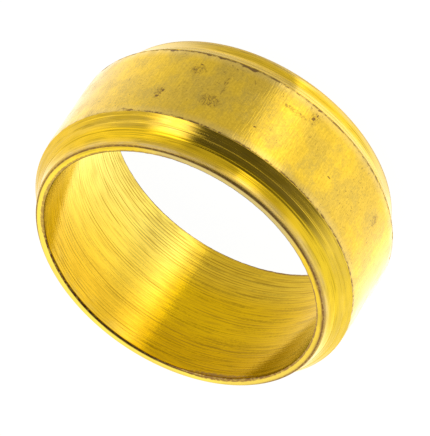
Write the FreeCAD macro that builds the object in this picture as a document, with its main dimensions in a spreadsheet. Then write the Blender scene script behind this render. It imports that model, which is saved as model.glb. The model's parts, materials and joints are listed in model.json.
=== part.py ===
import FreeCAD, Part
import math
import os
import Sketcher

# Compression olive for 15 mm copper pipe: one brass ring, turned from drawn bar.
# The middle keeps the bar's own skin as a plain band. Each end is turned down in two cones,
# a steep shoulder next to the band and a slimmer nose that ends in a narrow flat face.
# The ring stands on one end: Z is its axis, with the origin at the middle of the lower end face.

NODE = "compression_olive"

# Driving sizes, with lengths in millimetres and angles in degrees.
SIZES = {
    "bore_diameter": 15.1,    # slips over 15 mm pipe with a little play
    "wall": 1.3,              # thickness of the ring at the band
    "length": 8.1,            # from end face to end face
    "cone_length": 1.7,       # from the end face to the band, along the axis
    "shoulder_length": 0.78,  # how much of that the steep cone takes
    "shoulder_angle": 36,     # slope of the steep cone, measured from the axis
    "nose_angle": 17,         # slope of the slim cone, measured from the axis
    "root_radius": 0.4,       # left by the nose of the tool where the two cones meet
    "corner_radius": 0.08,    # rounding between the band and the shoulder
    "nose_radius": 0.2,       # rounding at the outer edge of the end face
    "mouth_break": 0.08,      # 45 degree edge break at each mouth of the bore
}

# Broken edges leave part of the end face flat: each takes this share of it at most.
EDGE_SHARE = 0.45
# Edges whose radii differ by less than this, in millimetres, are taken for the same circle.
SAME_RADIUS = 1e-6

# How a sketch numbers the ends of a line, its own origin and its horizontal axis.
START = 1
END = 2
ORIGIN = (-1, START)
HORIZONTAL_AXIS = -1

doc = FreeCAD.newDocument("olive")

sheet = doc.addObject("Spreadsheet::Sheet", "sizes")
for row, (alias, value) in enumerate(SIZES.items(), start=1):
    sheet.set(f"A{row}", alias)
    sheet.set(f"B{row}", str(value))
    sheet.setAlias(f"B{row}", alias)
doc.recompute()

body = doc.addObject("PartDesign::Body", NODE)
body.Label = NODE


def draw_half_section():
    """Draw the ring's section on one side of the axis, as the lathe leaves it before deburring."""
    plane = next(item for item in body.Origin.OriginFeatures if item.Role == "XZ_Plane")
    sketch = body.newObject("Sketcher::SketchObject", "half_section")
    sketch.AttachmentSupport = [(plane, "")]
    sketch.MapMode = "FlatFace"

    # Corners in order round the section, near enough for the constraints to settle them.
    bore = sheet.bore_diameter / 2
    band = bore + sheet.wall
    face = bore + sheet.wall / 3
    root = bore + sheet.wall / 2
    top = sheet.length
    shoulder = sheet.cone_length
    step = shoulder - sheet.shoulder_length
    corners = [
        FreeCAD.Vector(x, y)
        for x, y in [
            (bore, 0), (face, 0), (root, step), (band, shoulder),
            (band, top - shoulder), (root, top - step), (face, top), (bore, top),
        ]
    ]
    lines = [
        sketch.addGeometry(Part.LineSegment(here, following))
        for here, following in zip(corners, corners[1:] + corners[:1])
    ]
    low_face, low_nose, low_shoulder, band_line, high_shoulder, high_nose, high_face, bore_line = lines

    def hold(*constraint):
        return sketch.addConstraint(Sketcher.Constraint(*constraint))

    for line, following in zip(lines, lines[1:] + lines[:1]):
        hold("Coincident", line, END, following, START)
    for line in (low_face, high_face):
        hold("Horizontal", line)
    for line in (band_line, bore_line):
        hold("Vertical", line)
    hold("PointOnObject", low_face, START, HORIZONTAL_AXIS)
    # The two ends are alike: the same cones, the same end face.
    hold("Vertical", low_face, END, high_face, START)
    hold("Vertical", low_nose, END, high_nose, START)

    bound = {}

    def drive(name, expression, *constraint):
        sketch.renameConstraint(hold(*constraint), name)
        bound[name] = expression

    drive("bore_radius", "sizes.bore_diameter / 2", "DistanceX", *ORIGIN, low_face, START, bore)
    drive("band_wall", "sizes.wall", "DistanceX", low_face, START, low_shoulder, END, band - bore)
    drive("ring_length", "sizes.length", "DistanceY", low_face, START, high_face, END, top)
    drive("low_cone", "sizes.cone_length", "DistanceY", low_face, START, low_shoulder, END, shoulder)
    drive("high_cone", "sizes.cone_length", "DistanceY", band_line, END, high_face, END, shoulder)
    drive("low_step", "sizes.shoulder_length", "DistanceY", low_nose, END, low_shoulder, END,
          shoulder - step)
    drive("high_step", "sizes.shoulder_length", "DistanceY", band_line, END, high_nose, START,
          shoulder - step)
    drive("nose_slope", "90 - sizes.nose_angle", "Angle", low_nose, math.radians(90 - sheet.nose_angle))
    drive("shoulder_slope", "90 - sizes.shoulder_angle", "Angle", low_shoulder,
          math.radians(90 - sheet.shoulder_angle))

    # Round the corners that the lathe tool shapes, and keep each sharp corner as a point to measure from.
    for name, line, size in [
        ("low_root", low_nose, "root_radius"),
        ("low_corner", low_shoulder, "corner_radius"),
        ("high_corner", band_line, "corner_radius"),
        ("high_root", high_shoulder, "root_radius"),
    ]:
        radius = getattr(sheet, size)
        sketch.fillet(line, END, radius, True, True)
        arc = sketch.GeometryCount - 2
        drive(name, f"sizes.{size}", "Radius", arc, radius)

    # The width that is left for the end face follows from the rest.
    width = hold("DistanceX", low_face, START, low_face, END, face - bore)
    sketch.renameConstraint(width, "end_face")
    sketch.setDriving(width, False)

    for name, expression in bound.items():
        sketch.setExpression(f"Constraints.{name}", expression)
    doc.recompute()
    return sketch


section = draw_half_section()

# Turned once round the axis, the section gives the ring.
ring = body.newObject("PartDesign::Revolution", "turned_ring")
ring.Profile = section
ring.ReferenceAxis = (section, ["V_Axis"])
ring.Angle = 360
doc.recompute()


def deburr(kind, name, base, radius, size_property, size):
    """Break the sharp edges of one radius at both ends of the ring."""
    edges = [
        f"Edge{number}"
        for number, edge in enumerate(base.Shape.Edges, start=1)
        if isinstance(edge.Curve, Part.Circle) and abs(edge.Curve.Radius - radius) < SAME_RADIUS
    ]
    feature = body.newObject(kind, name)
    feature.Base = (base, edges)
    feature.setExpression(
        size_property, f"min(sizes.{size} * 1 mm; half_section.Constraints.end_face * {EDGE_SHARE})"
    )
    doc.recompute()
    return feature


bore_radius = sheet.bore_diameter / 2
face_radius = bore_radius + section.getDatum("end_face").Value
nose_edge = deburr("PartDesign::Fillet", "nose_edge", ring, face_radius, "Radius", "nose_radius")
deburr("PartDesign::Chamfer", "bore_mouth", nose_edge, bore_radius, "Size", "mouth_break")

# Nothing is written unless every step of the model worked.
for item in doc.Objects:
    if "Invalid" in item.State or "Error" in item.State:
        raise RuntimeError(f"{item.Name} did not build: {item.State}")
if not section.FullyConstrained:
    raise RuntimeError("the section is not fully constrained")
if body.Shape.isNull() or not body.Shape.isValid() or len(body.Shape.Solids) != 1:
    raise RuntimeError("the ring is not one sound solid")

os.makedirs("parts", exist_ok=True)
body.Shape.exportStep(f"parts/{body.Label}.step")
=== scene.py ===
import json
import math

import bmesh
import bpy
from mathutils import Matrix, Vector


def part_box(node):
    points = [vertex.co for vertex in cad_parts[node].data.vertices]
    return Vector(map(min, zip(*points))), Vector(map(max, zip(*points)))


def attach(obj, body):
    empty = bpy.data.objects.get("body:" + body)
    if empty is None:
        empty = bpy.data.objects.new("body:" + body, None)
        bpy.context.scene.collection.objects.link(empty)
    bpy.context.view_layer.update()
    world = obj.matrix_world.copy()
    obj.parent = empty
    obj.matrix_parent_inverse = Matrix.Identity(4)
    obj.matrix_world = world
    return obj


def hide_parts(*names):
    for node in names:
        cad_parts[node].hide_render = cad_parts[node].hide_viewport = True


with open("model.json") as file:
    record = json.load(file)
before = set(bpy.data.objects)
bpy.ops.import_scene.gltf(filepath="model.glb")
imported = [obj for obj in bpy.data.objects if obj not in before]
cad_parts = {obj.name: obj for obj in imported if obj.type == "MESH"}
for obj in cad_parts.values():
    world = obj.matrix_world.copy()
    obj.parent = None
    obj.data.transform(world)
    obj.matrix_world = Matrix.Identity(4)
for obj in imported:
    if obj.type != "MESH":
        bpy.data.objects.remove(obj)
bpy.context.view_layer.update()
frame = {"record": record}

# The olive: one ring of yellow brass, turned and parted off drawn bar. The hole is bored through,
# the bar's own skin stays as the band round the middle, and each end is cut to two cones, a steep
# shoulder and a slimmer nose. Its half section is drawn here first.
MM = 0.001
NODE = "compression_olive"
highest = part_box(NODE)[1]
bore = next(mount for mount in frame["record"]["mounts"] if mount["kind"] == "bore")
LENGTH = highest.z
BAND_RADIUS = highest.x
BORE_RADIUS = bore["dims"]["r_mm"] * MM
WALL = BAND_RADIUS - BORE_RADIUS
CONE_LENGTH = 1.7 * MM
SHOULDER_LENGTH = 0.78 * MM
SHOULDER_SLOPE = math.radians(36)
NOSE_SLOPE = math.radians(17)
ROOT_ROUNDING = 0.4 * MM
CORNER_ROUNDING = 0.08 * MM
NOSE_ROUNDING = 0.2 * MM
MOUTH_BREAK = 0.08 * MM
TOUCH = 0.001 * MM

root_height = CONE_LENGTH - SHOULDER_LENGTH
root_radius = BAND_RADIUS - SHOULDER_LENGTH * math.tan(SHOULDER_SLOPE)
face_radius = root_radius - root_height * math.tan(NOSE_SLOPE)
root_back = ROOT_ROUNDING * math.tan((SHOULDER_SLOPE - NOSE_SLOPE) / 2)
corner_back = CORNER_ROUNDING * math.tan(SHOULDER_SLOPE / 2)
nose_back = NOSE_ROUNDING * math.tan((math.pi / 2 - NOSE_SLOPE) / 2)

bpy.ops.object.select_all(action="DESELECT")
bpy.ops.mesh.primitive_plane_add(
    size=1, location=(BORE_RADIUS + WALL / 2, 0, LENGTH / 2), rotation=(math.pi / 2, 0, 0)
)
ring = bpy.context.object
ring.name = "olive_ring"
ring.scale = (WALL, LENGTH, 1)
bpy.ops.object.transform_apply(location=True, rotation=True, scale=True)
bpy.ops.object.mode_set(mode="EDIT")
bpy.ops.mesh.delete(type="ONLY_FACE")


def pick(kind, wanted):
    """Select those vertices, edges or faces of the ring that are wanted, and no others."""
    bpy.ops.mesh.select_all(action="DESELECT")
    bpy.ops.mesh.select_mode(type={"verts": "VERT", "edges": "EDGE", "faces": "FACE"}[kind])
    mesh = bmesh.from_edit_mesh(ring.data)
    for item in getattr(mesh, kind):
        item.select_set(wanted(item))
    bmesh.update_edit_mesh(ring.data)


def from_end(height):
    """How far a height lies from the nearer end of the ring."""
    return min(height, LENGTH - height)


def lies_at(point, radius, height, reach=TOUCH):
    """True for a point of the section within reach of a place that is given at both ends alike."""
    return math.hypot(point.x - radius, from_end(point.z) - height) < reach


# The outside edge is cut in five, and its corners are moved to the ends of the cones.
OUTSIDE_CUTS = 4
pick("edges", lambda edge: all(v.co.x > BAND_RADIUS - TOUCH for v in edge.verts))
bpy.ops.mesh.subdivide(number_cuts=OUTSIDE_CUTS)
spacing = LENGTH / (OUTSIDE_CUTS + 1)
cone_corners = [(face_radius, 0), (root_radius, root_height), (BAND_RADIUS, CONE_LENGTH)]
for cut, (radius, height) in enumerate(cone_corners):
    for end, up in [(0, 1), (LENGTH, -1)]:
        start = end + up * cut * spacing
        pick("verts", lambda v: math.hypot(v.co.x - BAND_RADIUS, v.co.z - start) < TOUCH)
        bpy.ops.transform.translate(value=(radius - BAND_RADIUS, 0, end + up * height - start))

# Tool radii and broken edges: each corner is bevelled back as far as its rounding touches the sides.
ROUNDED_CORNERS = [
    # radius and height of the corner, how far it is bevelled back and in how many segments
    (root_radius, root_height, root_back, 6),
    (BAND_RADIUS, CONE_LENGTH, corner_back, 3),
    (face_radius, 0, nose_back, 8),
    (BORE_RADIUS, 0, MOUTH_BREAK, 2),
]
for radius, height, back, segments in ROUNDED_CORNERS:
    pick("verts", lambda v: lies_at(v.co, radius, height))
    bpy.ops.mesh.bevel(affect="VERTICES", offset_type="OFFSET", offset=back, segments=segments)

# The straight runs are cut fine enough to carry tool marks.
SHORTEST_RUN = 0.15 * MM
STRAIGHT_RUNS = [
    # radius and height of one end, radius and height of the other, and the number of cuts
    (BORE_RADIUS, 0, BORE_RADIUS, LENGTH, 89),
    (BAND_RADIUS, CONE_LENGTH, BAND_RADIUS, LENGTH - CONE_LENGTH, 15),
    (BAND_RADIUS, CONE_LENGTH, root_radius, root_height, 29),
    (root_radius, root_height, face_radius, 0, 29),
    (BORE_RADIUS, 0, face_radius, 0, 4),
]


def is_run(edge, radius, height):
    """True for a long edge of the section with its middle at a place, at either end of the ring."""
    middle = (edge.verts[0].co + edge.verts[1].co) / 2
    return edge.calc_length() > SHORTEST_RUN and lies_at(middle, radius, height, SHORTEST_RUN)


for radius_a, height_a, radius_b, height_b, cuts in STRAIGHT_RUNS:
    middle_radius = (radius_a + radius_b) / 2
    middle_height = from_end((height_a + height_b) / 2)
    pick("edges", lambda edge: is_run(edge, middle_radius, middle_height))
    bpy.ops.mesh.subdivide(number_cuts=cuts)


def press_in(depth, half_width):
    """Push the picked points of the section towards the axis, and their neighbours less and less."""
    bpy.ops.transform.translate(
        value=(-depth, 0, 0), use_proportional_edit=True,
        proportional_edit_falloff="SMOOTH", proportional_size=half_width,
    )


# Bold turning lines on the shoulder where the tool dwelt, each a shallow groove.
LINE_REACH = 0.018 * MM
BOLD_LINES = [
    # distance up the shoulder from the root, depth and half width, in millimetres
    (0.417, 0.016, 0.07), (0.749, 0.006, 0.02),
]
for distance, depth, half_width in BOLD_LINES:
    radius = root_radius + distance * MM * math.sin(SHOULDER_SLOPE)
    height = root_height + distance * MM * math.cos(SHOULDER_SLOPE)
    pick("verts", lambda v: lies_at(v.co, radius, height, LINE_REACH))
    press_in(depth * MM / math.cos(SHOULDER_SLOPE), half_width * MM)

# The two cuts don't quite meet: the shoulder ends in a small step at the root, and stands that much
# high above it until it comes back to its line.
STEP_RISE = 0.022 * MM
STEP_FOOT = root_height - 0.09 * MM
STEP_TOP = root_height - 0.045 * MM
STEP_END = root_height + 0.26 * MM
outside = [v for v in bmesh.from_edit_mesh(ring.data).verts if v.co.x > face_radius]
for row in sorted({round(from_end(v.co.z) / TOUCH) for v in outside}):
    height = row * TOUCH
    going_up = (height - STEP_FOOT) / (STEP_TOP - STEP_FOOT)
    coming_back = (STEP_END - height) / (STEP_END - STEP_TOP)
    share = min(going_up, coming_back)
    if share > 0:
        pick("verts", lambda v: v.co.x > face_radius and abs(from_end(v.co.z) - height) < TOUCH)
        bpy.ops.transform.translate(value=(STEP_RISE * share, 0, 0))

# The nose is cut a little hollow.
NOSE_HOLLOW = 0.014 * MM
nose_middle = (root_radius + face_radius) / 2
pick("verts", lambda v: lies_at(v.co, nose_middle, root_height / 2, LINE_REACH))
press_in(NOSE_HOLLOW, root_height / 2)

# The section is spun round the axis.
TURN_STEPS = 360
bpy.ops.mesh.select_all(action="SELECT")
bpy.ops.mesh.spin(steps=TURN_STEPS, angle=2 * math.pi, center=(0, 0, 0), axis=(0, 0, 1))
bpy.ops.mesh.select_all(action="SELECT")
bpy.ops.mesh.remove_doubles(threshold=TOUCH)
bpy.ops.mesh.normals_make_consistent(inside=False)


def radius_of(point):
    return math.hypot(point.x, point.y)


def in_bore(point):
    return radius_of(point) < BORE_RADIUS + MOUTH_BREAK / 3 and from_end(point.z) > MOUTH_BREAK - TOUCH


def on_band(point):
    return CONE_LENGTH < from_end(point.z) and not in_bore(point)


def on_cones(point):
    return not in_bore(point) and not on_band(point) and from_end(point.z) > NOSE_ROUNDING


def at_corner(point):
    return not in_bore(point) and abs(from_end(point.z) - CONE_LENGTH) < CORNER_ROUNDING / 2


def at_mouth(point):
    break_size = MOUTH_BREAK + TOUCH
    return radius_of(point) < BORE_RADIUS + break_size and from_end(point.z) < break_size


# Tool marks: an uneven pattern pressed into the metal, drawn out round the ring where a tool cut
# it and along the bar where it was pulled through the die. The corners and mouths are left ragged.
TOOL_MARKS = [
    # zone, its points, the pattern's size across and along the axis, and depth, in millimetres
    ("bore", in_bore, 50, 0.17, 0.009),
    ("cones", on_cones, 50, 0.11, 0.005),
    ("band", on_band, 0.9, 3, 0.006),
    ("corner", at_corner, 0.25, 0.25, 0.06),
    ("mouth", at_mouth, 0.3, 0.3, 0.03),
]
for zone, test, across, along, depth in TOOL_MARKS:
    pick("verts", lambda v: test(v.co))
    bpy.ops.object.vertex_group_add()
    ring.vertex_groups.active.name = zone
    bpy.ops.object.vertex_group_assign()
    bpy.ops.object.mode_set(mode="OBJECT")
    bpy.ops.object.empty_add()
    pattern_frame = bpy.context.object
    pattern_frame.scale = (across * MM, across * MM, along * MM)
    grooves = bpy.data.textures.new(zone + "_marks", "CLOUDS")
    grooves.noise_scale = 1
    grooves.noise_depth = 1
    bpy.ops.object.select_all(action="DESELECT")
    bpy.context.view_layer.objects.active = ring
    ring.select_set(True)
    marks = ring.modifiers.new(zone + "_marks", "DISPLACE")
    marks.vertex_group = zone
    marks.texture = grooves
    marks.texture_coords = "OBJECT"
    marks.texture_coords_object = pattern_frame
    marks.mid_level = 0
    marks.strength = -depth * MM
    bpy.context.view_layer.update()
    bpy.ops.object.modifier_apply(modifier=marks.name)
    bpy.data.objects.remove(pattern_frame)
    bpy.ops.object.mode_set(mode="EDIT")
bpy.ops.object.mode_set(mode="OBJECT")
SHARPEST_SMOOTH = math.radians(40)
bpy.ops.object.shade_smooth_by_angle(angle=SHARPEST_SMOOTH)

# The brass has three finishes: cut by a tool on the cones and faces, bored inside, and the drawn
# skin of the bar. They are built from the same few shader steps, a pattern, the place on the ring
# and dirt. Colours are linear.


def add_node(tree, kind, sockets=None, **options):
    """Add a shader node. Sockets take the outputs of other nodes or plain values."""
    node = tree.nodes.new("ShaderNode" + kind)
    for name, value in options.items():
        setattr(node, name, value)
    for name, value in (sockets or {}).items():
        if isinstance(value, bpy.types.NodeSocket):
            tree.links.new(value, node.inputs[name])
        else:
            node.inputs[name].default_value = value
    return node


def add_math(tree, operation, *values):
    return add_node(tree, "Math", dict(enumerate(values)), operation=operation).outputs[0]


def times(tree, first, *others):
    for other in others:
        first = add_math(tree, "MULTIPLY", first, other)
    return first


def largest(tree, first, *others):
    for other in others:
        first = add_math(tree, "MAXIMUM", first, other)
    return first


def fade(tree, value, start, end, low=0.0, high=1.0):
    """A smooth change from low to high as the value goes from start to end."""
    sockets = {"Value": value, "From Min": start, "From Max": end, "To Min": low, "To Max": high}
    return add_node(tree, "MapRange", sockets, interpolation_type="SMOOTHSTEP").outputs["Result"]


def blend(tree, amount, colour_a, colour_b):
    sockets = {0: amount, 6: colour_a, 7: colour_b}
    return add_node(tree, "Mix", sockets, data_type="RGBA").outputs[2]


def line_at(tree, value, middle, half_width):
    """A soft line, 1 where the value is at the middle and 0 from half a width away."""
    away = add_math(tree, "ABSOLUTE", add_math(tree, "SUBTRACT", value, middle))
    return fade(tree, away, half_width, 0)


def new_group(name, inputs, outputs):
    """A shader node group with named inputs and outputs, and its tree's two end nodes."""
    group = bpy.data.node_groups.new(name, "ShaderNodeTree")
    for socket, kind in inputs:
        group.interface.new_socket(socket, in_out="INPUT", socket_type="NodeSocket" + kind)
    for socket, kind in outputs:
        group.interface.new_socket(socket, in_out="OUTPUT", socket_type="NodeSocket" + kind)
    return group, group.nodes.new("NodeGroupInput"), group.nodes.new("NodeGroupOutput")


# Pattern: noise from 0 to 1, as fine across the axis and along the section as each finish needs.
PATTERN_INPUTS = ("Across", "Along", "Detail", "Low", "High")
PATTERN_ROUGHNESS = 0.6
pattern_group, entry, leave = new_group(
    "worked_pattern", [(name, "Float") for name in ("Section",) + PATTERN_INPUTS], [("Pattern", "Float")]
)
tree = pattern_group
place = add_node(tree, "SeparateXYZ", {0: add_node(tree, "TexCoord").outputs["Object"]}).outputs
x = add_math(tree, "DIVIDE", place["X"], entry.outputs["Across"])
y = add_math(tree, "DIVIDE", place["Y"], entry.outputs["Across"])
z = add_math(tree, "DIVIDE", entry.outputs["Section"], entry.outputs["Along"])
point = add_node(tree, "CombineXYZ", {"X": x, "Y": y, "Z": z}).outputs[0]
detail = entry.outputs["Detail"]
sockets = {"Vector": point, "Scale": 1, "Detail": detail, "Roughness": PATTERN_ROUGHNESS}
noise = add_node(tree, "TexNoise", sockets).outputs["Fac"]
spread = fade(tree, noise, entry.outputs["Low"], entry.outputs["High"])
tree.links.new(spread, leave.inputs["Pattern"])


def pattern(tree, section, across, along, detail, low, high):
    """The worked pattern in a finish: its two sizes in millimetres, how much finer detail it has, and
    the ends of the noise that become 0 and 1."""
    node = add_node(tree, "Group", {"Section": section}, node_tree=pattern_group)
    for name, value in zip(PATTERN_INPUTS, (across * MM, along * MM, detail, low, high)):
        node.inputs[name].default_value = value
    return node.outputs["Pattern"]


# Place: where a point of the ring lies. Slant goes up the face and the cones of either end, Front is 1
# in front and -1 behind, and Side is 1 and -1 towards +X and -X.
PLACES = ("Radius", "Height", "From End", "Slant", "Front", "Side")
place_group, entry, leave = new_group("place_on_ring", [], [(name, "Float") for name in PLACES])
tree = place_group
place = add_node(tree, "SeparateXYZ", {0: add_node(tree, "TexCoord").outputs["Object"]}).outputs
flat = add_node(tree, "CombineXYZ", {"X": place["X"], "Y": place["Y"]}).outputs[0]
radius = add_node(tree, "VectorMath", {0: flat}, operation="LENGTH").outputs["Value"]
from_top = add_math(tree, "SUBTRACT", LENGTH, place["Z"])
from_nearer = add_math(tree, "MINIMUM", place["Z"], from_top)
upper_half = add_math(tree, "GREATER_THAN", place["Z"], LENGTH / 2)
slant = add_math(tree, "ADD", radius, from_nearer)
slant = add_math(tree, "ADD", slant, times(tree, upper_half, LENGTH))
front = add_math(tree, "DIVIDE", add_math(tree, "MULTIPLY", place["Y"], -1), radius)
side = add_math(tree, "DIVIDE", place["X"], radius)
for name, value in zip(PLACES, (radius, place["Z"], from_nearer, slant, front, side)):
    tree.links.new(value, leave.inputs[name])

# Stain: a ragged region round one point, with its own width round the ring and length along it.
RAGGEDNESS = 0.3 * MM
stain_group, entry, leave = new_group(
    "stain", [("Centre", "Vector"), ("Width", "Float"), ("Length", "Float")], [("Mask", "Float")]
)
tree = stain_group
here = add_node(tree, "TexCoord").outputs["Object"]
sockets = {"Vector": here, "Scale": 1 / RAGGEDNESS, "Detail": 2}
ragged = add_node(tree, "TexNoise", sockets).outputs["Color"]
jitter = add_node(tree, "VectorMath", {0: ragged, 1: (0.5, 0.5, 0.5)}, operation="SUBTRACT").outputs[0]
shift = add_node(tree, "VectorMath", {0: jitter, "Scale": RAGGEDNESS}, operation="SCALE").outputs[0]
moved = add_node(tree, "VectorMath", {0: here, 1: shift}, operation="ADD").outputs[0]
sockets = {0: moved, 1: entry.outputs["Centre"]}
offset = add_node(tree, "VectorMath", sockets, operation="SUBTRACT").outputs[0]
width = entry.outputs["Width"]
size = add_node(tree, "CombineXYZ", {"X": width, "Y": width, "Z": entry.outputs["Length"]}).outputs[0]
reached = add_node(tree, "VectorMath", {0: offset, 1: size}, operation="DIVIDE").outputs[0]
distance = add_node(tree, "VectorMath", {0: reached}, operation="LENGTH").outputs["Value"]
tree.links.new(fade(tree, distance, 1.0, 0.6), leave.inputs["Mask"])

# Mouth grime: brown dirt in the broken edge of the bore and on both sides of it. At the upper mouth
# it lies wide on the +X side and behind towards -X, and half as wide at -X. Between the first two it
# is a thin black line.
GRIME_THIN = 0.015 * MM
GRIME_WIDE = 0.36 * MM
mouth_group, entry, leave = new_group(
    "mouth_grime", [("Distance", "Float")], [("Mask", "Float"), ("Blackness", "Float")]
)
tree = mouth_group
spot = add_node(tree, "Group", node_tree=place_group).outputs
beside = times(tree, fade(tree, spot["Front"], -0.6, -0.4), fade(tree, spot["Side"], 0.2, 0.5))
behind = times(tree, line_at(tree, spot["Side"], -0.65, 0.38), fade(tree, spot["Front"], 0, -0.3))
other_side = fade(tree, spot["Side"], -0.6, -0.85, 0, 0.5)
upper_mouth = fade(tree, spot["Height"], LENGTH / 3, LENGTH / 2, 0.4, 1)
wide = times(tree, largest(tree, beside, behind, other_side), upper_mouth)
ragged = fade(tree, pattern(tree, spot["Slant"], 0.2, 0.1, 2, 0.3, 0.6), 0, 1, 0.6, 1)
reach = times(tree, fade(tree, wide, 0, 1, GRIME_THIN, GRIME_WIDE), ragged)
near = fade(tree, entry.outputs["Distance"], reach, times(tree, reach, 0.3))
thickness = fade(tree, beside, 0, 1, 1, 0.8)
tree.links.new(times(tree, near, ragged, thickness), leave.inputs["Mask"])
black = times(tree, fade(tree, spot["Front"], -0.42, -0.65), fade(tree, spot["Side"], 0.05, 0.3))
tree.links.new(black, leave.inputs["Blackness"])

MIRRORED_BRASS = (0.68, 0.6, 0.02, 1)
EDGE_BROWN = (0.34, 0.18, 0.055, 1)
BLACK_BROWN = (0.12, 0.047, 0.02, 1)


def new_finish(name):
    """A metal material on the ring, with its tree and its shader."""
    material = bpy.data.materials.new(name)
    material.use_nodes = True
    shader = material.node_tree.nodes["Principled BSDF"]
    shader.inputs["Metallic"].default_value = 1
    ring.data.materials.append(material)
    return material.node_tree, shader


def shaded(tree, colour, value):
    return add_node(tree, "HueSaturation", {"Color": colour, "Value": value}).outputs[0]


def grimed(tree, shade, distance):
    """The shade with grime over it, at this distance from the broken edge of the bore."""
    grime = add_node(tree, "Group", {"Distance": distance}, node_tree=mouth_group).outputs
    return blend(tree, grime["Mask"], shade, blend(tree, grime["Blackness"], EDGE_BROWN, BLACK_BROWN))


def set_colour(tree, shader, shade):
    """The finish itself to the eye, and a greener brass where it shows only in other brass, so that
    a second reflection in the bore is still yellow, not orange."""
    seen = add_node(tree, "LightPath").outputs["Is Camera Ray"]
    tree.links.new(blend(tree, seen, MIRRORED_BRASS, shade), shader.inputs["Base Color"])


def set_relief(tree, shader, height, depth):
    bump = add_node(tree, "Bump", {"Height": height, "Distance": depth})
    tree.links.new(bump.outputs["Normal"], shader.inputs["Normal"])


# Cut brass: bright, with lines round the ring from the tool, some dark and some dull. It is left bare
# by the lathe, so a haze and dirt have settled on it. Its yellower hue on the -X side and its paler tan
# over the shoulder's highlight are painted light.
CUT_BRASS = (0.93, 0.59, 0.018, 1)
LEMON_BRASS = (0.93, 0.64, 0.032, 1)
PALE_BRASS = (0.97, 0.8, 0.17, 1)
EDGE_TINT = (1, 0.95, 0.76, 1)
TAN_HAZE = (0.86, 0.64, 0.24, 1)
GREY_HAZE = (0.56, 0.44, 0.18, 1)
STAIN_BROWN = (0.16, 0.075, 0.032, 1)
CUT_RELIEF = 0.0008 * MM
FACE_FADE = 0.05 * MM
tree, shader = new_finish("cut_brass")
shader.inputs["Specular Tint"].default_value = EDGE_TINT
spot = add_node(tree, "Group", node_tree=place_group).outputs
lines = pattern(tree, spot["Slant"], 8, 0.06, 0, 0.3, 0.7)
worn = pattern(tree, spot["Slant"], 1.8, 0.35, 2, 0.35, 0.65)
patches = pattern(tree, spot["Slant"], 1.6, 0.5, 3, 0.42, 0.62)
ragged = pattern(tree, spot["Slant"], 0.22, 0.12, 2, 0.3, 0.55)
lower_end = fade(tree, spot["Height"], LENGTH / 2, LENGTH / 3, 1, 1.8)
dark = times(tree, fade(tree, lines, 0.45, 0), fade(tree, worn, 0, 1, 0.05, 0.28), lower_end)
dull = times(tree, fade(tree, lines, 0.5, 1), fade(tree, worn, 1, 0, 0.15, 1))
value = times(tree, add_math(tree, "SUBTRACT", 1.04, dark), fade(tree, worn, 0, 1, 1.05, 0.95))
on_face = fade(tree, spot["From End"], FACE_FADE, FACE_FADE / 5)
# LEMON_BRASS is the end faces' own colour. On the -X side of the cones it is painted light: the yellower
# hue of brass in the brighter light there.
lemon_face_and_lit_side = largest(tree, fade(tree, spot["Side"], -0.2, -0.75), on_face)
shade = shaded(tree, blend(tree, lemon_face_and_lit_side, CUT_BRASS, LEMON_BRASS), value)

# Its tan haze: a little on the shoulder, more over the shoulder's highlight as a painted paler
# highlight, most where the nose begins, less on the nose's +X side, and on the lower nose except in
# front.
HAZE_EDGE = 0.15 * MM
NOSE_HAZE_END = 0.55 * MM
RIM_HAZE_WIDTH = 0.17 * MM
nose_start = nose_back * math.cos(NOSE_SLOPE)
off_face = fade(tree, on_face, 1, 0)
on_shoulder = fade(tree, spot["From End"], root_height, root_height + HAZE_EDGE, 0, 0.17)
# Over the softbox's highlight on the shoulder, near Side 0.47, the haze is up to 2.2 times as strong: a
# painted paler highlight.
painted_highlight_pale = fade(tree, line_at(tree, spot["Side"], 0.47, 0.2), 0, 1, 1, 2.2)
on_nose = fade(tree, spot["From End"], NOSE_HAZE_END, nose_start, 0, 0.9)
on_nose = times(tree, off_face, on_nose, fade(tree, spot["Side"], 0.2, -0.15, 0.5, 1))
by_rim = times(tree, off_face, line_at(tree, spot["From End"], nose_start, RIM_HAZE_WIDTH))
haze = largest(tree, on_nose, by_rim, times(tree, on_shoulder, painted_highlight_pale))
shade = blend(tree, times(tree, haze, fade(tree, patches, 0, 1, 0.55, 1)), shade, TAN_HAZE)
lower_nose = fade(tree, spot["Height"], root_height, root_height - HAZE_EDGE)
lower_nose = times(tree, lower_nose, fade(tree, spot["Front"], 0.9, 0.65, 0, 0.8))
shade = blend(tree, lower_nose, shade, TAN_HAZE)

# Its end faces: grey in front, paler towards the back, and faintly brown at -X.
grey_front = times(tree, on_face, fade(tree, spot["Front"], 0.74, 0.92), 0.85)
shade = blend(tree, grey_front, shade, GREY_HAZE)
pale_back = times(tree, on_face, fade(tree, spot["Front"], 0.8, -0.6, 0, 0.5))
shade = blend(tree, pale_back, shade, PALE_BRASS)
brown_side = times(tree, on_face, fade(tree, spot["Side"], -0.5, -0.8), 0.2)
shade = blend(tree, brown_side, shade, EDGE_BROWN)

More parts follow.
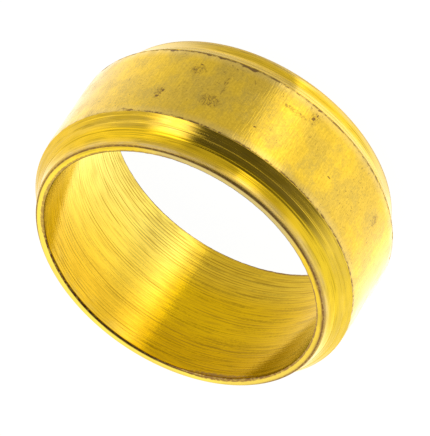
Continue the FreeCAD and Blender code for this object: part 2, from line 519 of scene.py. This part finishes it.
# Its dirt: in the face's rounded edge, blackest in front, at the corner to the band, and at the bore,
# where it reaches less far than inside.
RIM_WIDEST = 0.14 * MM
RIM_NARROWEST = 0.09 * MM
BAND_DIRT = 0.05 * MM
FACE_STEEPER = 2.8
rim_radius = face_radius - nose_back / 3
rim_width = fade(tree, spot["Side"], -0.85, -0.3, RIM_WIDEST, RIM_NARROWEST)
rim = line_at(tree, spot["Radius"], rim_radius, rim_width)
rim = times(tree, rim, fade(tree, ragged, 0, 1, 0.7, 1), fade(tree, spot["Front"], -0.75, -0.4, 0.1, 1))
black_front = fade(tree, spot["Front"], 0.6, 0.95, 0, 0.7)
shade = blend(tree, rim, shade, blend(tree, black_front, EDGE_BROWN, BLACK_BROWN))
by_band = fade(tree, spot["From End"], CONE_LENGTH - BAND_DIRT, CONE_LENGTH - BAND_DIRT / 5)
shade = blend(tree, times(tree, by_band, fade(tree, ragged, 0, 1, 0.1, 0.7)), shade, STAIN_BROWN)
from_mouth = add_math(tree, "SUBTRACT", spot["Radius"], BORE_RADIUS + MOUTH_BREAK)
set_colour(tree, shader, grimed(tree, shade, times(tree, from_mouth, FACE_STEEPER)))

# Its gloss: matt in the dirt and haze of the rounded edge, and in a worn streak along the middle of
# the shoulder on the -X side.
STREAK_WIDTH = 0.14 * MM
shoulder_middle = (root_height + CONE_LENGTH) / 2
streak = line_at(tree, spot["From End"], shoulder_middle, STREAK_WIDTH)
streak = times(tree, streak, 0.42, fade(tree, spot["Side"], -0.05, -0.4), fade(tree, worn, 0, 1, 0.6, 1))
by_line = fade(tree, dull, 0, 1, 0.12, 0.3)
matt = largest(tree, times(tree, rim, 0.65), times(tree, by_rim, 0.6), by_line, streak)
tree.links.new(matt, shader.inputs["Roughness"])
set_relief(tree, shader, lines, CUT_RELIEF)

# Bored brass: feed lines round the hole, scored deepest near the lower mouth and at a few heights
# further on, with fine grain between them and grime at the mouths. Its +X side is painted paler where
# it mirrors the bright room, and its -X side painted darker and deeper in colour where it mirrors the
# shaded table.
BORED_BRASS = (0.99, 0.61, 0.006, 1)
DEEP_BRASS = (0.88, 0.5, 0.004, 1)
SCORED_BRASS = (0.45, 0.25, 0.012, 1)
TAN_OXIDE = (0.62, 0.44, 0.09, 1)
BORE_RELIEF = 0.0018 * MM
FEED = 0.175 * MM
OXIDE_END = 1.3 * MM
OXIDE_FULL = 0.2 * MM
SCORED_PLACES = [
    # height and half length, in millimetres
    (0.75, 0.95), (1.5, 0.4), (2.05, 0.35), (2.8, 0.2), (4.05, 0.3), (6.1, 0.7), (7.4, 0.35),
]
tree, shader = new_finish("bored_brass")
shader.inputs["Specular Tint"].default_value = EDGE_TINT
spot = add_node(tree, "Group", node_tree=place_group).outputs
drift = times(tree, pattern(tree, spot["Height"], 14, 0.9, 1, 0.2, 0.8), 0.8 * FEED)
turns = add_math(tree, "DIVIDE", add_math(tree, "ADD", spot["Height"], drift), FEED / (2 * math.pi))
breaks = pattern(tree, spot["Height"], 2.5, 0.1, 1, 0.34, 0.58)
lines = times(tree, fade(tree, add_math(tree, "SINE", turns), 0.1, 0.9), breaks)
scored = largest(tree, *[line_at(tree, spot["Height"], h * MM, half * MM) for h, half in SCORED_PLACES])
dashes = pattern(tree, spot["Height"], 1.2, 0.06, 1, 0.48, 0.66)
grain = pattern(tree, spot["Height"], 0.14, 0.08, 2, 0.3, 0.7)
bands = pattern(tree, spot["Height"], 3.5, 0.3, 2, 0.3, 0.7)
threads = pattern(tree, spot["Height"], 4, 0.085, 1, 0.3, 0.7)
patches = pattern(tree, spot["Height"], 0.8, 0.35, 3, 0.45, 0.65)
# The -X side is darkened to about three quarters: painted shade, where the bore mirrors the shaded table
# inside the ring.
painted_shade = fade(tree, spot["Side"], -0.45, -0.72, 1, 0.76)
combed = times(tree, fade(tree, bands, 0, 1, 0.93, 1.1), fade(tree, threads, 0, 1, 0.9, 1.14))
combed = add_math(tree, "POWER", combed, fade(tree, spot["Side"], 0.05, -0.1, 1, 2.2))
mottle = times(tree, fade(tree, grain, 0, 1, 0.88, 1.14), combed)
mottle = add_math(tree, "MINIMUM", mottle, 1.01)
# Deeper orange towards the upper mouth, and a little deeper on the -X side as painted shade.
upper_part = fade(tree, spot["Height"], LENGTH * 0.5, LENGTH * 0.85)
deep = largest(tree, upper_part, fade(tree, spot["Side"], 0, -0.3, 0, 0.3))
shade = shaded(tree, blend(tree, deep, BORED_BRASS, DEEP_BRASS), times(tree, mottle, painted_shade))
# The +X side is paled, most towards the lower end: a painted paleness of the bright light it mirrors. The
# lower end is paler all round.
painted_light_side = times(tree, fade(tree, spot["Side"], -0.1, 0.1), fade(tree, spot["Side"], 0.5, 0.85, 1, 1.45))
painted_light_side = times(tree, fade(tree, spot["Height"], LENGTH * 0.85, LENGTH * 0.2, 0.15, 0.55), painted_light_side)
pale_end = fade(tree, spot["Height"], LENGTH * 0.4, LENGTH * 0.15, 0, 0.18)
shade = blend(tree, add_math(tree, "ADD", painted_light_side, pale_end), shade, PALE_BRASS)
by_mouth = fade(tree, spot["From End"], OXIDE_END, OXIDE_FULL, 0, 0.45)
by_mouth = times(tree, by_mouth, patches, fade(tree, spot["Side"], -0.2, 0.3))
shade = blend(tree, by_mouth, shade, TAN_OXIDE)
shade = blend(tree, times(tree, lines, fade(tree, scored, 0, 1, 0.25, 0.8)), shade, SCORED_BRASS)
shade = blend(tree, times(tree, dashes, 0.35), shade, SCORED_BRASS)
from_mouth = add_math(tree, "SUBTRACT", spot["From End"], MOUTH_BREAK)
set_colour(tree, shader, grimed(tree, shade, from_mouth))
tree.links.new(fade(tree, grain, 0, 1, 0.12, 0.2), shader.inputs["Roughness"])
set_relief(tree, shader, add_math(tree, "ADD", lines, times(tree, grain, 0.5)), BORE_RELIEF)

# Drawn skin: satin, faintly streaked along the bar by the die, patched with tan oxide and specked with
# brown, with a hazy strip and a line of dirt where the cones cut into it.
SKIN_BRASS = (0.88, 0.58, 0.065, 1)
SKIN_RELIEF = 0.002 * MM
STRIP_END = CONE_LENGTH + 0.6 * MM
STRIP_FULL = CONE_LENGTH + 0.05 * MM
DIRT_END = CONE_LENGTH + 0.13 * MM
DIRT_FULL = CONE_LENGTH + 0.03 * MM
tree, shader = new_finish("drawn_skin")
spot = add_node(tree, "Group", node_tree=place_group).outputs
streaks = pattern(tree, spot["Height"], 0.08, 0.8, 1, 0.3, 0.7)
grain = pattern(tree, spot["Height"], 0.11, 0.13, 3, 0.3, 0.7)
patches = pattern(tree, spot["Height"], 0.9, 1.1, 4, 0.42, 0.66)
specks = pattern(tree, spot["Height"], 0.1, 0.13, 2, 0.6, 0.72)
regions = pattern(tree, spot["Height"], 2.2, 2.2, 1, 0.4, 0.62)
clotted = pattern(tree, spot["Height"], 0.1, 0.14, 2, 0.54, 0.62)
scratched = line_at(tree, pattern(tree, spot["Height"], 0.26, 0.3, 1, 0, 1), 0.5, 0.09)
ragged = pattern(tree, spot["Height"], 0.24, 0.24, 2, 0.42, 0.58)
value = times(tree, fade(tree, streaks, 0, 1, 0.93, 1.02), fade(tree, grain, 0, 1, 0.92, 1.07))
value = times(tree, value, fade(tree, regions, 0, 1, 1.05, 0.95))
shade = shaded(tree, blend(tree, fade(tree, regions, 1, 0, 0, 0.4), SKIN_BRASS, CUT_BRASS), value)
shade = blend(tree, times(tree, patches, fade(tree, grain, 0, 1, 0.54, 0.26)), shade, TAN_OXIDE)
hazy_strip = fade(tree, spot["From End"], STRIP_END, STRIP_FULL, 0, 0.35)
shade = blend(tree, hazy_strip, shade, TAN_HAZE)
STAINS = [
    # turn from the front towards +X in degrees, height, half width and half length in millimetres
    (39.3, 4.95, 0.24, 0.5), (31.0, 2.9, 0.52, 0.5), (21.5, 4.75, 0.7, 0.55), (20.0, 3.5, 0.1, 1.0),
    (-3.7, 2.78, 0.85, 0.2), (-10.5, 2.4, 0.34, 0.5), (-51.0, 3.2, 0.3, 0.45), (48.0, 6.3, 0.5, 0.12),
]
NICKS = [
    # the same, for solid dark marks
    (15.8, 1.76, 0.6, 0.14), (26.0, 1.74, 0.3, 0.1), (31.0, 1.74, 0.2, 0.08), (44.0, 1.74, 0.3, 0.1),
    (38.4, 4.8, 0.08, 0.18), (39.3, 5.2, 0.12, 0.1), (32.0, 3.0, 0.14, 0.06), (30.8, 2.5, 0.12, 0.05),
    (4.5, 5.02, 0.07, 0.07), (-10.3, 2.45, 0.14, 0.18), (-10.8, 2.12, 0.08, 0.08),
    (-10.5, 1.76, 0.16, 0.12), (-25.3, 4.45, 0.13, 0.05), (50.0, 6.37, 0.1, 0.06), (45.5, 6.37, 0.22, 0.06),
]


def marked(tree, places):
    """The stains at all of these places of the band together."""
    masks = []
    for turn, height, width, length in places:
        angle = math.radians(turn)
        sockets = {
            "Centre": (BAND_RADIUS * math.sin(angle), -BAND_RADIUS * math.cos(angle), height * MM),
            "Width": width * MM,
            "Length": length * MM,
        }
        masks.append(add_node(tree, "Group", sockets, node_tree=stain_group).outputs["Mask"])
    return largest(tree, *masks)


by_corner = fade(tree, spot["From End"], DIRT_END, DIRT_FULL)
by_corner = times(tree, by_corner, fade(tree, spot["Side"], 0.8, 0.6, 0.2, 1))
clots = largest(tree, times(tree, clotted, 0.85), times(tree, scratched, 0.7))
grime = largest(
    tree,
    times(tree, marked(tree, STAINS), fade(tree, clots, 0, 1, 0.1, 0.64)),
    times(tree, marked(tree, NICKS), 0.85),
    times(tree, specks, regions, 0.55),
    times(tree, by_corner, fade(tree, ragged, 0, 1, 0.2, 0.85)),
)
set_colour(tree, shader, blend(tree, grime, shade, STAIN_BROWN))
tree.links.new(fade(tree, patches, 0, 1, 0.15, 0.26), shader.inputs["Roughness"])
set_relief(tree, shader, add_math(tree, "SUBTRACT", streaks, grime), SKIN_RELIEF)

# Each finish goes on the faces that were worked that way. The whole ring starts as cut brass.
bpy.ops.object.mode_set(mode="EDIT")
for index, test in [(1, in_bore), (2, on_band)]:
    pick("faces", lambda face: test(face.calc_center_median()))
    ring.active_material_index = index
    bpy.ops.object.material_slot_assign()
bpy.ops.object.mode_set(mode="OBJECT")

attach(ring, "root")
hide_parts(NODE)

# The floor: white paper that takes a faint shadow of the ring. It doesn't show in the metal, which
# mirrors a table that is lit on one side and shaded on the other: the panels below the horizon.
FLOOR_SIZE = 0.8
FLOOR_TINT = 0.1
FLOOR_GLOW = 0.97
bpy.ops.object.select_all(action="DESELECT")
bpy.ops.mesh.primitive_plane_add(size=FLOOR_SIZE)
floor = bpy.context.object
floor.name = "floor"
floor.visible_glossy = False
paper = bpy.data.materials.new("floor_paper")
paper.use_nodes = True
tree = paper.node_tree
tree.nodes.clear()
matt = add_node(tree, "BsdfDiffuse", {"Color": (FLOOR_TINT, FLOOR_TINT, FLOOR_TINT, 1)})
seen = add_node(tree, "LightPath").outputs["Is Camera Ray"]
glow = add_node(tree, "Emission", {"Strength": add_math(tree, "MULTIPLY", seen, FLOOR_GLOW)})
both = add_node(tree, "AddShader", {0: matt.outputs[0], 1: glow.outputs[0]})
add_node(tree, "OutputMaterial", {"Surface": both.outputs[0]})
floor.data.materials.append(paper)

# The studio: a white background all round, and before it panels that the camera doesn't see, lamps,
# lit and shaded walls and the table. A panel covers a span of directions, in degrees: round from the
# front towards +X, and up from the horizon. Each edge fades over its own width.
PANEL_EDGES = ("Start", "End", "Bottom", "Top")
panel_group, entry, leave = new_group(
    "light_panel",
    [("Direction", "Vector"), ("Behind", "Float"), ("Level", "Float")]
    + [(edge + part, "Float") for edge in PANEL_EDGES for part in ("", " Fade")],
    [("Light", "Float")],
)
tree = panel_group
direction = add_node(tree, "SeparateXYZ", {0: entry.outputs["Direction"]}).outputs
forward = add_math(tree, "MULTIPLY", direction["Y"], -1)
round_angle = add_math(tree, "DEGREES", add_math(tree, "ARCTAN2", direction["X"], forward))
up_angle = add_math(tree, "DEGREES", add_math(tree, "ARCSINE", direction["Z"]))
cover = 1.0
for edge, angle, inward in zip(PANEL_EDGES, (round_angle, round_angle, up_angle, up_angle), (1, -1, 1, -1)):
    half = add_math(tree, "MULTIPLY", entry.outputs[edge + " Fade"], inward / 2)
    outer = add_math(tree, "SUBTRACT", entry.outputs[edge], half)
    inner = add_math(tree, "ADD", entry.outputs[edge], half)
    cover = add_math(tree, "MULTIPLY", fade(tree, angle, outer, inner), cover)
sockets = {0: cover, 2: entry.outputs["Behind"], 3: entry.outputs["Level"]}
tree.links.new(add_node(tree, "Mix", sockets).outputs[0], leave.inputs["Light"])

WHITE = 1
ROOM_LIGHT = 1.18
PANELS = [
    # name, level, round from and to, up from and to, each with its fade; later ones stand in front
    ("lit_table", 1.18, (-181, 0.1), (181, 0.1), (-91, 0.1), (-16, 12)),
    ("top_back_left", 1.18, (-181, 0.1), (-130, 40), (14, 12), (66, 10)),
    ("top_back_right", 1.18, (130, 40), (181, 0.1), (14, 12), (66, 10)),
    ("ceiling", 0.45, (-181, 0.1), (181, 0.1), (64, 16), (91, 0.1)),
    ("table_left", 1.65, (-181, 0.1), (-114, 70), (-48, 10), (-30, 16)),
    ("table_right", 1.3, (130, 50), (181, 0.1), (-48, 10), (-30, 16)),
    ("below_left", 1.45, (-181, 0.1), (-125, 50), (-91, 0.1), (-54, 8)),
    ("left_wall", 0.91, (-104, 20), (-30, 16), (-22, 12), (30, 14)),
    ("shaded_side", 0.63, (11, 4), (88, 92), (-91, 0.1), (-3, 5)),
    ("right_wall", 0.95, (78, 56), (181, 0.1), (-26, 16), (5, 8)),
    ("side_low", 0.55, (46, 10), (72, 16), (-22, 8), (-9, 5)),
    ("side_glow", 1.15, (60, 20), (108, 24), (-7, 5), (8, 8)),
    ("front_gap", 0.76, (-40, 12), (-21, 10), (-37, 20), (0, 6)),
    ("front_low", 0.47, (-36, 24), (42, 12), (-18, 10), (9, 8)),
    ("front_glow", 0.82, (-26, 20), (10, 10), (-20, 10), (-5, 6)),
    ("front_strip", 1.62, (-13, 16), (1, 4), (-91, 0.1), (0, 8)),
    ("below_right", 0.62, (8, 6), (125, 60), (-91, 0.1), (-52, 10)),
    ("below_back", 0.61, (152, 24), (181, 0.1), (-91, 0.1), (-52, 10)),
    ("side_wall", 0.64, (68, 4), (122, 24), (7, 8), (35, 10)),
    ("camera_side", 0.2, (-64, 31), (44, 10), (8, 16), (78, 20)),
    ("camera_stand", 0.1, (-25, 60), (44, 10), (8, 16), (78, 20)),
    ("softbox", 1.85, (42, 14), (62, 10), (10, 10), (46, 14)),
]
world = bpy.data.worlds.new("studio")
bpy.context.scene.world = world
world.use_nodes = True
tree = world.node_tree
tree.nodes.clear()
direction = add_node(tree, "TexCoord").outputs["Generated"]
rays = add_node(tree, "LightPath").outputs
# The white background shows to the camera, in metal and through glass. The room lights matt things.
shown = largest(tree, rays["Is Camera Ray"], rays["Is Glossy Ray"], rays["Is Transmission Ray"])
light = add_node(tree, "Mix", {0: shown, 2: ROOM_LIGHT, 3: WHITE}).outputs[0]
for name, level, *spans in PANELS:
    sockets = {"Direction": direction, "Behind": light, "Level": level}
    for edge, (angle, width) in zip(PANEL_EDGES, spans):
        sockets[edge] = angle
        sockets[edge + " Fade"] = width
    light = add_node(tree, "Group", sockets, node_tree=panel_group, name=name).outputs["Light"]
strength = add_node(tree, "Mix", {0: rays["Is Camera Ray"], 2: light, 3: WHITE}).outputs[0]
sky = add_node(tree, "Background", {"Color": (1, 1, 1, 1), "Strength": strength})
add_node(tree, "OutputWorld", {"Surface": sky.outputs[0]})

# The camera stands far off with a long lens, rolled so that the ring's axis points down to the left.
PICTURE_SIZE = Vector((430, 436))
TOP_CENTRE_PIXEL = Vector((178.66, 267.03))
BAND_RADIUS_PIXELS = 177.08
DISTANCE_IN_RADII = 50
ELEVATION = math.radians(38.33)
ROLL = math.radians(-146.6)
SENSOR = 36
NEAREST = 0.01
FARTHEST = 10
bpy.ops.object.camera_add()
camera = bpy.context.object
camera.name = "camera"
camera.data.sensor_width = SENSOR
camera.data.lens = BAND_RADIUS_PIXELS * DISTANCE_IN_RADII * SENSOR / PICTURE_SIZE.y
camera.data.clip_start = NEAREST
camera.data.clip_end = FARTHEST
turned = Matrix.Rotation(math.pi / 2 - ELEVATION, 3, "X") @ Matrix.Rotation(ROLL, 3, "Z")
aside = (TOP_CENTRE_PIXEL - PICTURE_SIZE / 2) * BAND_RADIUS / BAND_RADIUS_PIXELS
to_top_centre = Vector((aside.x, -aside.y, -DISTANCE_IN_RADII * BAND_RADIUS))
camera.location = Vector((0, 0, LENGTH)) - turned @ to_top_centre
camera.rotation_euler = turned.to_euler()
bpy.context.scene.camera = camera
bpy.context.scene.view_settings.view_transform = "Standard"
